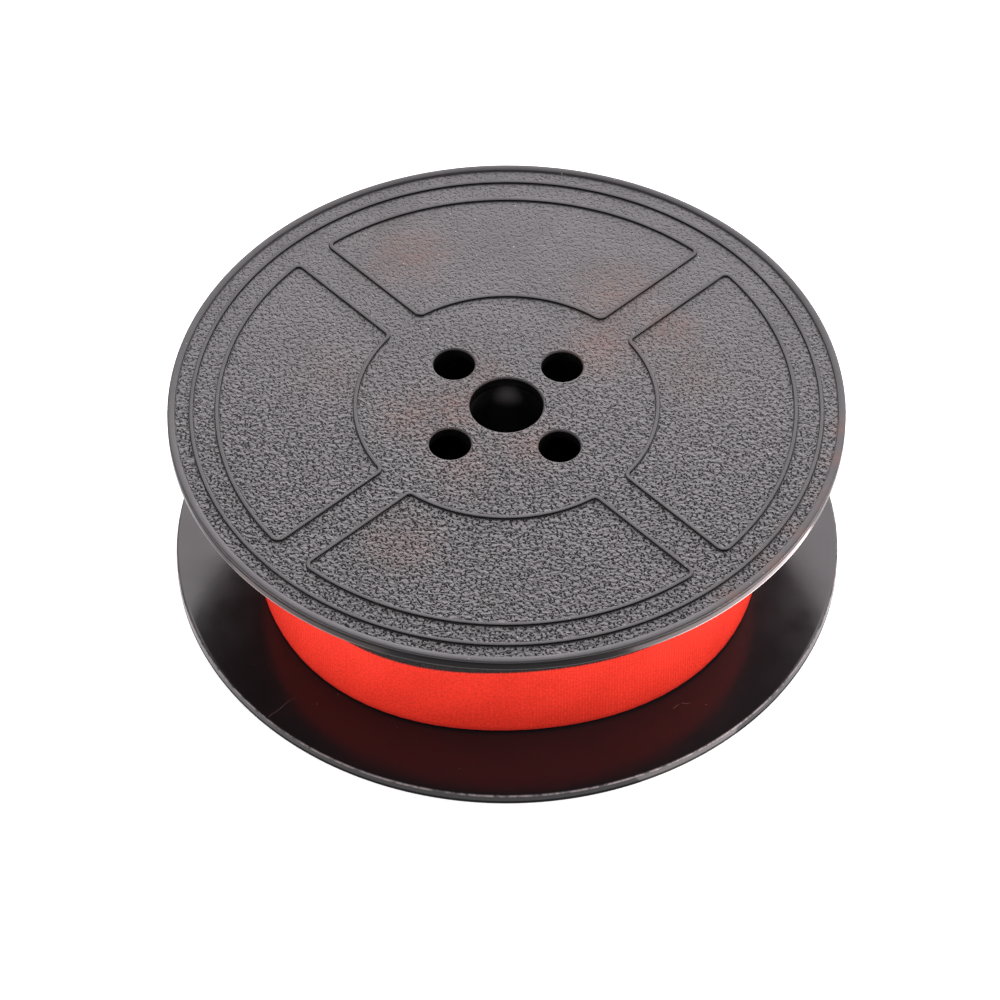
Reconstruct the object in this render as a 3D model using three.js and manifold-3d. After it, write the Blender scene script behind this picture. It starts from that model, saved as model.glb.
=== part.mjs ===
// A typewriter ribbon spool: two moulded flanges on a hollow winding drum, a
// central bush for the machine's spindle, and a two-colour woven ribbon wound
// on the drum, with its outer end, eyelet and hook lying at the back.
// Millimetres, +Z up, origin at the centre of the resting face.

import * as THREE from 'three';
import { mergeVertices } from 'three/addons/utils/BufferGeometryUtils.js';
import Module from 'manifold-3d';

// ---------------------------------------------------------------- driving sizes

const clearance = 0.3; // between neighbouring pieces

// ribbon
const ribbonWidth = 13;
const ribbonSidePlay = 2.2; // spare width between the flanges
const windingDepthLeft = 6.2; // flange edge to the wound ribbon
const colourLineGap = 0.3; // between the black and the red half
const tailThickness = 0.4;
const tailStart = 40; // degrees round the spool, 90 is the back
const tailEnd = 150;
const tailLift = 3.2; // how far the loose end stands off the winding

// flanges
const flangeDiameter = 54;
const flangeThickness = 1;
const reliefHeight = 0.15; // raised lines and rim over the grained fields
const rimWidth = 0.65;
const outerEdgeBevel = 0.15;
const innerEdgeBevel = 0.2;
const lineWidth = 0.6; // the raised lines
const edgeToRingLine = 1.9;
const edgeToSectors = 3.95;
const drumToSectors = 0.85;
const spokeWidth = 3.2; // between the lines on both sides of a spoke
const sectorCorner = 0.8;
const sectorCount = 4;

// machine interface
const spindleBore = 5.9;
const driveHoleDiameter = 3.35;
const driveHoleCircle = 12.25;
const driveHoleCount = 4;
const driveHoleTurn = 45; // degrees to the first hole and the first spoke

// hub
const drumDiameter = 22.4;
const drumWall = 1.2;
const spigotWall = 1;
const spigotHeight = 2;
const bushWall = 0.55;
const collarWall = 0.5;
const collarHeight = 1.5;
const pegDiameter = 1.6;
const pegSunk = 0.1; // below the drum's surface
const slotDirection = 200; // degrees round the drum

// eyelet and hook on the ribbon's outer end
const eyeletBore = 2.2;
const eyeletBarrelWall = 0.4;
const eyeletFlangeWidth = 0.9;
const eyeletFlangeThickness = 0.25;
const eyeletAt = 0.72; // share of the loose end's length
const hookSheet = 0.35;
const hookGrip = 3.2; // how much of the ribbon it holds
const hookSideMargin = 0.8;
const hookTongueLength = 3;
const hookTongueWidth = 4.5;

const roundSteps = 72; // sides of a large circle
const smallSteps = 24; // sides of a hole, a bush or a pin

// ---------------------------------------------------------------- derived sizes

const flangeRadius = flangeDiameter / 2;
const windingGap = ribbonWidth + ribbonSidePlay;
const overallHeight = windingGap + 2 * flangeThickness;
const ribbonBottom = flangeThickness + clearance;
const ribbonMiddle = ribbonBottom + ribbonWidth / 2;
const ribbonTop = ribbonBottom + ribbonWidth;
const packRadius = flangeRadius - windingDepthLeft;
const drumRadius = drumDiameter / 2;
const drumBottom = flangeThickness + clearance;
const drumTop = overallHeight - flangeThickness - clearance;
const spigotRadius = drumRadius - drumWall - clearance;
const boreRadius = spindleBore / 2;
const bushRadius = boreRadius + bushWall;
const collarInner = bushRadius + clearance;
const sectorOuter = flangeRadius - edgeToSectors;
const sectorInner = drumRadius + drumToSectors;
const slotBottom = flangeThickness + spigotHeight + clearance;
const slotTop = overallHeight - slotBottom;

// ---------------------------------------------------------------- helpers

const wasm = await Module();
wasm.setup();

const radians = THREE.MathUtils.degToRad;

function solidOf(geometry) {
  const bare = geometry.index ? geometry.toNonIndexed() : geometry.clone();
  bare.deleteAttribute('normal');
  bare.deleteAttribute('uv');
  const welded = mergeVertices(bare, 1e-5);
  return new wasm.Manifold(new wasm.Mesh({
    numProp: 3,
    vertProperties: new Float32Array(welded.attributes.position.array),
    triVerts: new Uint32Array(welded.index.array),
  }));
}

function geometryOf(solid) {
  const mesh = solid.getMesh();
  const geometry = new THREE.BufferGeometry();
  geometry.setAttribute('position', new THREE.BufferAttribute(mesh.vertProperties, 3));
  geometry.setIndex(new THREE.BufferAttribute(mesh.triVerts, 1));
  geometry.computeVertexNormals();
  return geometry;
}

function lathe(profile, steps) {
  const points = profile.map(([radius, height]) => new THREE.Vector2(radius, height));
  points.push(points[0].clone());
  const geometry = new THREE.LatheGeometry(points, steps);
  geometry.rotateX(Math.PI / 2);
  return geometry;
}

function prism(outline, bottom, top, hole) {
  const shape = new THREE.Shape(outline);
  if (hole) shape.holes.push(new THREE.Path(hole));
  const geometry = new THREE.ExtrudeGeometry(shape, { depth: top - bottom, bevelEnabled: false });
  geometry.translate(0, 0, bottom);
  return geometry;
}

function cylinder(radius, bottom, top, x, y) {
  const geometry = new THREE.CylinderGeometry(radius, radius, top - bottom, smallSteps);
  geometry.rotateX(Math.PI / 2);
  geometry.translate(x, y, (top + bottom) / 2);
  return geometry;
}

function circle(radius, steps) {
  return arc(0, 0, radius, 0, 360 - 360 / steps, steps - 1);
}

function arc(x, y, radius, from, to, steps) {
  const points = [];
  for (let i = 0; i <= steps; i += 1) {
    const angle = radians(from + (to - from) * i / steps);
    points.push(new THREE.Vector2(x + radius * Math.cos(angle), y + radius * Math.sin(angle)));
  }
  return points;
}

// ---------------------------------------------------------------- flanges

// The outline of one sector between two spokes, centred on +X and grown by `grow`.
function sectorOutline(grow) {
  const half = 180 / sectorCount;
  const outer = sectorOuter + grow;
  const inner = sectorInner - grow;
  const corner = Math.max(sectorCorner + grow, 0.1);
  const fromSpoke = spokeWidth / 2 - grow + corner;
  const outerAngle = half - THREE.MathUtils.radToDeg(Math.asin(fromSpoke / (outer - corner)));
  const innerAngle = half - THREE.MathUtils.radToDeg(Math.asin(fromSpoke / (inner + corner)));
  const place = (radius, angle) => [radius * Math.cos(radians(angle)), radius * Math.sin(radians(angle))];
  const upper = [
    ...arc(...place(outer - corner, outerAngle), corner, outerAngle, half + 90, 4),
    ...arc(...place(inner + corner, innerAngle), corner, half + 90, innerAngle + 180, 4),
  ];
  const lower = upper.map((point) => new THREE.Vector2(point.x, -point.y)).reverse();
  const outerArc = arc(0, 0, outer, -outerAngle, outerAngle, 16).slice(1, -1);
  const innerArc = arc(0, 0, inner, innerAngle, -innerAngle, 10).slice(1, -1);
  return [...outerArc, ...upper, ...innerArc, ...lower];
}

// A flange as it lies at the bottom: relief below, spigot and collar above.
function flangeSolid() {
  const field = reliefHeight;
  const inside = flangeThickness;
  const ringLine = flangeRadius - edgeToRingLine;
  const rimInner = flangeRadius - rimWidth;
  const body = lathe([
    [boreRadius, field],
    [ringLine - lineWidth / 2, field],
    [ringLine - lineWidth / 2, 0],
    [ringLine + lineWidth / 2, 0],
    [ringLine + lineWidth / 2, field],
    [rimInner, field],
    [rimInner, 0],
    [flangeRadius - outerEdgeBevel, 0],
    [flangeRadius, outerEdgeBevel],
    [flangeRadius, inside - innerEdgeBevel],
    [flangeRadius - innerEdgeBevel, inside],
    [spigotRadius, inside],
    [spigotRadius, inside + spigotHeight],
    [spigotRadius - spigotWall, inside + spigotHeight],
    [spigotRadius - spigotWall, inside],
    [collarInner + collarWall, inside],
    [collarInner + collarWall, inside + collarHeight],
    [collarInner, inside + collarHeight],
    [collarInner, inside],
    [boreRadius, inside],
  ], roundSteps);
  let solid = solidOf(body);
  const overlap = (inside - field) / 3;
  for (let i = 0; i < sectorCount; i += 1) {
    const line = prism(sectorOutline(lineWidth / 2), 0, field + overlap, sectorOutline(-lineWidth / 2));
    line.rotateZ(radians(driveHoleTurn + 180 / sectorCount + i * 360 / sectorCount));
    solid = solid.add(solidOf(line));
  }
  for (let i = 0; i < driveHoleCount; i += 1) {
    const angle = radians(driveHoleTurn + i * 360 / driveHoleCount);
    const x = driveHoleCircle / 2 * Math.cos(angle);
    const y = driveHoleCircle / 2 * Math.sin(angle);
    const top = inside + Math.max(spigotHeight, collarHeight) + 1;
    solid = solid.subtract(solidOf(cylinder(driveHoleDiameter / 2, -1, top, x, y)));
  }
  return solid;
}

function lowerFlange() {
  return geometryOf(flangeSolid());
}

function upperFlange() {
  const geometry = geometryOf(flangeSolid());
  geometry.rotateX(Math.PI);
  geometry.translate(0, 0, overallHeight);
  return geometry;
}

// ---------------------------------------------------------------- hub

function pegPlace() {
  const radius = drumRadius - pegSunk - pegDiameter / 2;
  return [radius * Math.cos(radians(slotDirection)), radius * Math.sin(radians(slotDirection))];
}

function hubDrum() {
  const tube = solidOf(lathe([
    [drumRadius - drumWall, drumBottom],
    [drumRadius, drumBottom],
    [drumRadius, drumTop],
    [drumRadius - drumWall, drumTop],
  ], roundSteps));
  const slotWidth = pegDiameter + 2 * clearance;
  const slot = new THREE.BoxGeometry(drumWall * 3, slotWidth, slotTop - slotBottom);
  slot.translate(drumRadius - drumWall / 2, 0, overallHeight / 2);
  slot.rotateZ(radians(slotDirection));
  return geometryOf(tube.subtract(solidOf(slot)));
}

function spindleBush() {
  return lathe([
    [boreRadius, drumBottom],
    [bushRadius, drumBottom],
    [bushRadius, drumTop],
    [boreRadius, drumTop],
  ], smallSteps * 2);
}

function anchorPeg() {
  return cylinder(pegDiameter / 2, slotBottom + clearance, slotTop - clearance, ...pegPlace());
}

// ---------------------------------------------------------------- ribbon

// Place and direction of the loose end's middle line, from 0 at its root to 1.
function tailPoint(share) {
  const angle = radians(tailStart + (tailEnd - tailStart) * share);
  const radius = packRadius - tailThickness / 2 + tailLift * share * share;
  return new THREE.Vector2(radius * Math.cos(angle), radius * Math.sin(angle));
}

function tailNormal(share) {
  const along = tailPoint(share + 0.001).sub(tailPoint(share - 0.001)).normalize();
  return new THREE.Vector2(along.y, -along.x);
}

function tailSide(from, to, offset, steps) {
  const points = [];
  for (let i = 0; i <= steps; i += 1) {
    const share = from + (to - from) * i / steps;
    points.push(tailPoint(share).addScaledVector(tailNormal(share), offset));
  }
  return points;
}

function tailStrip(from, to, inner, outer, steps) {
  return [...tailSide(from, to, outer, steps), ...tailSide(to, from, inner, steps)];
}

// Turns a shape made along +X out to the loose end at `share`.
function onTail(geometry, share) {
  const place = tailPoint(share);
  const normal = tailNormal(share);
  geometry.rotateZ(Math.atan2(normal.y, normal.x));
  geometry.translate(place.x, place.y, ribbonMiddle);
  return geometry;
}

function ribbonHalf(bottom, top) {
  const ring = solidOf(prism(
    circle(packRadius, roundSteps),
    bottom,
    top,
    circle(drumRadius + clearance, roundSteps),
  ));
  const half = tailThickness / 2;
  const tail = solidOf(prism(tailStrip(0, 1, -half, half, 26), bottom, top));
  const hole = new THREE.CylinderGeometry(1, 1, 4 * tailThickness, smallSteps);
  const holeRadius = eyeletBore / 2 + eyeletBarrelWall + clearance;
  hole.scale(holeRadius, 1, holeRadius);
  hole.rotateZ(Math.PI / 2);
  return geometryOf(ring.add(tail.subtract(solidOf(onTail(hole, eyeletAt)))));
}

function ribbonBlackHalf() {
  return ribbonHalf(ribbonMiddle + colourLineGap / 2, ribbonTop);
}

function ribbonRedHalf() {
  return ribbonHalf(ribbonBottom, ribbonMiddle - colourLineGap / 2);
}

function reversingEyelet() {
  const bore = eyeletBore / 2;
  const barrel = bore + eyeletBarrelWall;
  const flange = barrel + eyeletFlangeWidth;
  const ribbonBulge = flange * flange / (2 * packRadius);
  const face = tailThickness / 2 + clearance + ribbonBulge;
  const back = face + eyeletFlangeThickness;
  const ring = lathe([
    [bore, -back],
    [flange, -back],
    [flange, -face],
    [barrel, -face],
    [barrel, face],
    [flange, face],
    [flange, back],
    [bore, back],
  ], smallSteps);
  ring.rotateY(Math.PI / 2);
  return onTail(ring, eyeletAt);
}

// A strip of sheet folded over the end of the ribbon, with a narrow bent tongue.
function endHook() {
  const inside = tailThickness / 2 + clearance;
  const outside = inside + hookSheet;
  const end = tailPoint(1);
  const normal = tailNormal(1);
  const along = new THREE.Vector2(-normal.y, normal.x);
  const at = (forward, out) => end.clone().addScaledVector(along, forward).addScaledVector(normal, out);
  const tailLength = radians(tailEnd - tailStart) * packRadius;
  const gripFrom = 1 - hookGrip / tailLength;
  const channel = [
    ...tailSide(gripFrom, 1, outside, 4),
    at(clearance + hookSheet, outside),
    at(clearance + hookSheet, -outside),
    ...tailSide(1, gripFrom, -outside, 4),
    ...tailSide(gripFrom, 1, -inside, 4),
    at(clearance, -inside),
    at(clearance, inside),
    ...tailSide(1, gripFrom, inside, 4),
  ];
  const root = clearance + hookSheet / 2;
  const tongue = [
    at(root, -hookSheet / 2),
    at(root + hookTongueLength, -hookSheet / 2),
    at(root + hookTongueLength, -outside - hookSheet),
    at(root + hookTongueLength + hookSheet, -outside - hookSheet),
    at(root + hookTongueLength + hookSheet, hookSheet / 2),
    at(root, hookSheet / 2),
  ];
  const low = ribbonBottom + hookSideMargin;
  const high = ribbonTop - hookSideMargin;
  const grip = solidOf(prism(channel, low, high));
  const tab = solidOf(prism(
    tongue,
    ribbonMiddle - hookTongueWidth / 2,
    ribbonMiddle + hookTongueWidth / 2,
  ));
  return geometryOf(grip.add(tab));
}

// ---------------------------------------------------------------- materials

function grainedPlastic() {
  return new THREE.MeshStandardMaterial({ color: 0x2b292b, roughness: 0.55, metalness: 0 });
}

function glossPlastic() {
  return new THREE.MeshStandardMaterial({ color: 0x171617, roughness: 0.25, metalness: 0 });
}

function blackInkedNylon() {
  return new THREE.MeshStandardMaterial({ color: 0x1d1a1a, roughness: 0.85, metalness: 0 });
}

function redInkedNylon() {
  return new THREE.MeshStandardMaterial({ color: 0xe03a2c, roughness: 0.75, metalness: 0 });
}

function brass() {
  return new THREE.MeshStandardMaterial({ color: 0xc9a85a, roughness: 0.3, metalness: 1 });
}

function tinnedSteel() {
  return new THREE.MeshStandardMaterial({ color: 0xb9bcc0, roughness: 0.35, metalness: 1 });
}

// ---------------------------------------------------------------- assembly

function piece(name, geometry, material) {
  const mesh = new THREE.Mesh(geometry, material);
  mesh.name = name;
  return mesh;
}

const spool = new THREE.Group();
spool.add(piece('upper_flange', upperFlange(), grainedPlastic()));
spool.add(piece('lower_flange', lowerFlange(), grainedPlastic()));
spool.add(piece('hub_drum', hubDrum(), glossPlastic()));
spool.add(piece('spindle_bush', spindleBush(), glossPlastic()));
spool.add(piece('ribbon_anchor_peg', anchorPeg(), glossPlastic()));
spool.add(piece('ribbon_black_half', ribbonBlackHalf(), blackInkedNylon()));
spool.add(piece('ribbon_red_half', ribbonRedHalf(), redInkedNylon()));
spool.add(piece('reversing_eyelet', reversingEyelet(), brass()));
spool.add(piece('ribbon_end_hook', endHook(), tinnedSteel()));

export default spool;
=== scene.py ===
import math
import random

import bmesh
import bpy
import numpy as np
from mathutils import Matrix, Vector
from mathutils.geometry import delaunay_2d_cdt


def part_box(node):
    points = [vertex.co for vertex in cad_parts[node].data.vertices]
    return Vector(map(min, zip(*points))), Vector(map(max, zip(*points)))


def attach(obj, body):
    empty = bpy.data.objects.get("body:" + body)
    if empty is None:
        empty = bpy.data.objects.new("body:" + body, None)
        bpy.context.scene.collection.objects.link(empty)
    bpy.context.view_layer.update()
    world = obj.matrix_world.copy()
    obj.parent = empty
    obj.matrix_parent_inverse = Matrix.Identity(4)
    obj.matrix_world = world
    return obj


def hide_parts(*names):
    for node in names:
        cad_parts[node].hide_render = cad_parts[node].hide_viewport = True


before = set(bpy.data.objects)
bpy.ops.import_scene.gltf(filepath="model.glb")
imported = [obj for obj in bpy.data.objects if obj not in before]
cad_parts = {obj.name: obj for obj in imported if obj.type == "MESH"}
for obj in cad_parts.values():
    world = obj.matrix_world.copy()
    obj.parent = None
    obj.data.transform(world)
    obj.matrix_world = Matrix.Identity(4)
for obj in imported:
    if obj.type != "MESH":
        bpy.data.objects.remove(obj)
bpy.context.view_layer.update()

# A typewriter ribbon spool. Sizes are in millimetres, in the frame of the CAD
# model: +Z up along the spindle, the resting face at zero.

MM = 0.001

# ------------------------------------------------------------------ sizes


def extent(node):
    """Lowest and highest corners of a CAD node, in millimetres."""
    low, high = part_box(node)
    return low / MM, high / MM


flange_high = extent("lower_flange")[1]
drum_low, drum_high = extent("hub_drum")
bush_low, bush_high = extent("spindle_bush")
peg_low, peg_high = extent("ribbon_anchor_peg")

HEIGHT = extent("upper_flange")[1].z
FLANGE_R = flange_high.x
PANEL = 1.0                      # flange, from its raised lines to its inner face
RELIEF = 0.15                    # raised lines and rim above the grained fields
SPIGOT_H = flange_high.z - PANEL

RING_R = FLANGE_R - 1.9          # middle of the raised line round the face
SECTOR_OUT = FLANGE_R - 3.95
DRUM_R = drum_high.x
SECTOR_IN = DRUM_R + 0.85
SPOKE_W = 3.2
SECTOR_CORNER = 0.55
SECTORS = 4
PATTERN_TURN = 45.0              # degrees to the first spoke and drive hole

BORE_R = 2.95
DRIVE_R = 1.675
DRIVE_CIRCLE_R = 6.125
DRIVE_HOLES = 4

DRUM_WALL = 1.2
CLEAR = 0.3
SPIGOT_R = DRUM_R - DRUM_WALL - CLEAR
SPIGOT_WALL = 1.0
BUSH_R = bush_high.x
COLLAR_IN = BUSH_R + CLEAR
COLLAR_WALL = 0.5
COLLAR_H = 1.5

RIBBON_W = 13.0
RIBBON_Z = PANEL + 0.1           # the cloth stands on the lower flange
LIFT = 0.16                      # how far the ribbon's lower edge rises from there
LIFT_PERIOD = 35.0
PACK_R = 20.78
LOBES = 0.3                      # how far the winding is from round
LOBE_COUNT = 4
LOBE_TURN = 129.0                # degrees back from +X to the first lobe
TURNS = 98
CLOTH = 0.075                    # thickness of the inked nylon
RIB_PITCH = 0.245                # between the ribs of the weave
COLOUR_LINE = 6.85               # mean height of the red half
DRIFT = 0.2                      # how far the border between the colours wanders
DRIFT_PERIOD = 28.0
DRIFT_PEAK = 43.5                # before the loose end, where the red half is highest
TAIL_START = 40.0
TAIL_END = 150.0
TAIL_LIFT = 3.2
SLOT_DIRECTION = 200.0

EYELET_BORE = 1.1
EYELET_BARREL = 1.5
EYELET_FLANGE = 2.4
EYELET_AT = 0.72
HOOK_SHEET = 0.35
HOOK_GRIP = 3.2
HOOK_SIDE = 0.8
HOOK_TONGUE = 3.0
HOOK_CURL = 0.5                  # radius of the tongue's bent tip
HOOK_TONGUE_W = 4.5

ROUND = 288                      # steps round a flange
SMALL = 96                       # steps round a bore
PEG_STEPS = 12                   # steps of the ribbon round the peg
TURN_STEPS = 90                  # in one turn of the ribbon
TAIL_STEPS = 40                  # along its loose end
STEEP = 0.02                     # height of a face that belongs to a line's side


# ------------------------------------------------------------------ mesh helpers


class Builder:
    """Collects the vertices and faces of one piece, in millimetres."""

    def __init__(self):
        self.points = []
        self.faces = []
        self.slots = []
        self.values = {}

    def loop(self, points, **values):
        """Adds a row of (x, y, z) and gives its vertex numbers."""
        first = len(self.points)
        self.points += [tuple(p) for p in points]
        for name, value in values.items():
            self.values.setdefault(name, {}).update(
                {first + i: value for i in range(len(points))}
            )
        return list(range(first, len(self.points)))

    def face(self, corners, slot=0):
        self.faces.append(tuple(corners))
        self.slots.append(slot)

    def bridge(self, a, b, slot=0):
        """Quads between two closed rows of the same length."""
        for i in range(len(a)):
            j = (i + 1) % len(a)
            self.face((a[i], a[j], b[j], b[i]), slot)

    def rows(self, rows, slot=0):
        for a, b in zip(rows, rows[1:]):
            self.bridge(a, b, slot)

    def plane(self, loops, holes, slot=0, steep=None):
        """Triangles between closed rows seen along Z, with the round rows `holes` left open.

        Faces that climb more than STEEP go to the slot `steep`, when one is given.
        """
        holes = [set(row) for row in holes]
        index = [v for row in loops for v in row]
        flat = [Vector(self.points[v][:2]) for v in index]
        edges, start = [], 0
        for row in loops:
            n = len(row)
            edges += [(start + i, start + (i + 1) % n) for i in range(n)]
            start += n
        made = delaunay_2d_cdt(flat, edges, [], 0, 1e-6, True)
        triangles, origin = made[2], made[3]
        for triangle in triangles:
            face = [index[origin[i][0]] for i in triangle]
            if any(row.issuperset(face) for row in holes):
                continue
            heights = [self.points[v][2] for v in face]
            climbs = steep is not None and max(heights) - min(heights) > STEEP
            self.face(face, steep if climbs else slot)

    def object(self, name, materials, sharp=None):
        mesh = bpy.data.meshes.new(name)
        scaled = [(x * MM, y * MM, z * MM) for x, y, z in self.points]
        mesh.from_pydata(scaled, [], self.faces)
        for material in materials:
            mesh.materials.append(material)
        mesh.polygons.foreach_set("material_index", self.slots)
        for key, values in self.values.items():
            attribute = mesh.attributes.new(key, "FLOAT", "POINT")
            data = np.zeros(len(self.points), np.float32)
            data[list(values)] = list(values.values())
            attribute.data.foreach_set("value", data)
        turn_outward(mesh)
        mesh.shade_smooth()
        if sharp is not None:
            mesh.set_sharp_from_angle(angle=math.radians(sharp))
        mesh.update()
        made = bpy.data.objects.new(name, mesh)
        bpy.context.scene.collection.objects.link(made)
        return made


def turn_outward(mesh):
    work = bmesh.new()
    work.from_mesh(mesh)
    bmesh.ops.recalc_face_normals(work, faces=work.faces)
    work.to_mesh(mesh)
    work.free()


def applied(made, sharp):
    """Turns an object's modifiers into its mesh."""
    graph = bpy.context.evaluated_depsgraph_get()
    mesh = bpy.data.meshes.new_from_object(made.evaluated_get(graph))
    made.modifiers.clear()
    made.data = mesh
    mesh.shade_smooth()
    mesh.set_sharp_from_angle(angle=math.radians(sharp))
    return made


def ring(radius, z, steps, x=0.0, y=0.0):
    turn = [2 * math.pi * i / steps for i in range(steps)]
    return [(x + radius * math.cos(a), y + radius * math.sin(a), z) for a in turn]


def arc(x, y, radius, start, end, steps):
    """Points in a plane on an arc, angles in degrees, both ends in."""
    turn = [math.radians(start + (end - start) * i / steps) for i in range(steps + 1)]
    return [(x + radius * math.cos(a), y + radius * math.sin(a)) for a in turn]


def lathe(builder, profile, steps, slot=0):
    """Rows round the spindle axis for (radius, z) points, joined in order."""
    rows = [builder.loop(ring(r, z, steps)) for r, z in profile]
    builder.rows(rows, slot)
    return rows


def polar(radius, degrees):
    a = math.radians(degrees)
    return radius * math.cos(a), radius * math.sin(a)


# ------------------------------------------------------------------ flanges

# A raised line across its middle: (distance from the middle, depth, grain).
# Its top is flat and its sides are steep and painted near-black as shade, so only a thin dark line
# draws it.
HALF_LINE = (
    (0.0, 0.0, 0.0), (0.09, 0.0, 0.0), (0.122, 0.004, 0.0), (0.146, 0.02, 0.0), (0.156, 0.045, 0.0),
    (0.162, 0.105, 0.0), (0.172, 0.138, 0.0), (0.19, 0.15, 0.0), (0.24, 0.15, 1.0),
)
LINE = [(-d, z, g) for d, z, g in reversed(HALF_LINE[1:])] + list(HALF_LINE)


# A hole's rounded edge: (distance outside the hole, depth below the field, grain).
MOUTH = ((0.16, 0.0, 1.0), (0.10, 0.0, 0.0), (0.05, 0.015, 0.0), (0.015, 0.05, 0.0), (0.0, 0.12, 0.0))

# A flange's rim, from the grained field round the edge to the inner face: (distance inside the
# edge, height, grain, worn: a pale line on the rounded corner that is edge wear and a painted
# highlight).
# Rows up to RIM_FACE are grained plastic, the next pair takes the bore's near-black painted shade, the
# pair after that is the plain edge, and the rest is the inner face's plastic.
RIM = (
    (0.70, RELIEF, 1.0, 0.0),
    (0.64, RELIEF, 0.0, 0.0),
    (0.615, RELIEF * 0.92, 0.0, 0.0),
    (0.60, RELIEF * 0.6, 0.0, 0.0),
    (0.585, RELIEF * 0.12, 0.0, 0.0),
    (0.55, 0.0, 0.0, 0.0),
    (0.12, 0.0, 0.0, 0.0),
    (0.065, 0.01, 0.0, 0.0),
    (0.02, 0.04, 0.0, 0.0),
    (0.0, 0.10, 0.0, 0.0),
    (0.0, 0.36, 0.0, 0.0),
    (0.0, PANEL - 0.22, 0.0, 0.0),
    (0.0, PANEL - 0.16, 0.0, 0.4),
    (0.012, PANEL - 0.11, 0.0, 1.0),
    (0.035, PANEL - 0.05, 0.0, 1.0),
    (0.08, PANEL - 0.015, 0.0, 0.3),
    (0.14, PANEL, 0.0, 0.0),
    (0.32, PANEL, 0.0, 0.0),
)
RIM_FACE = 10

# Material slots of a flange.
OUTSIDE, INSIDE, BORE, EDGE, LINE_SIDE = range(5)


def sector_outline(grow):
    """The outline of a sector between two spokes, centred on +X and grown by `grow`."""
    half = 180 / SECTORS
    outer, inner = SECTOR_OUT + grow, SECTOR_IN - grow
    corner = SECTOR_CORNER + grow
    from_spoke = SPOKE_W / 2 - grow + corner
    outer_angle = half - math.degrees(math.asin(from_spoke / (outer - corner)))
    inner_angle = half - math.degrees(math.asin(from_spoke / (inner + corner)))
    x, y = polar(outer - corner, outer_angle)
    upper = arc(x, y, corner, outer_angle, half + 90, 8)
    x, y = polar(inner + corner, inner_angle)
    inside = arc(x, y, corner, half + 90, inner_angle + 180, 8)
    (x0, y0), (x1, y1) = upper[-1], inside[0]
    side = [(x0 + (x1 - x0) * i / 12, y0 + (y1 - y0) * i / 12) for i in range(1, 12)]
    upper = upper + side + inside
    lower = [(x, -y) for x, y in reversed(upper)]
    outer_arc = arc(0, 0, outer, -outer_angle, outer_angle, 72)[1:-1]
    inner_arc = arc(0, 0, inner, inner_angle, -inner_angle, 36)[1:-1]
    return outer_arc + upper + inner_arc + lower


def drive_places():
    return [
        polar(DRIVE_CIRCLE_R, PATTERN_TURN + 360 / DRIVE_HOLES * i)
        for i in range(DRIVE_HOLES)
    ]


def mouth(builder, x, y, radius, steps):
    """Rows of a hole's rounded edge, from the grained field into the hole."""
    return [
        builder.loop(ring(radius + out, RELIEF + down, steps, x, y), grain=share)
        for out, down, share in MOUTH
    ]


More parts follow.
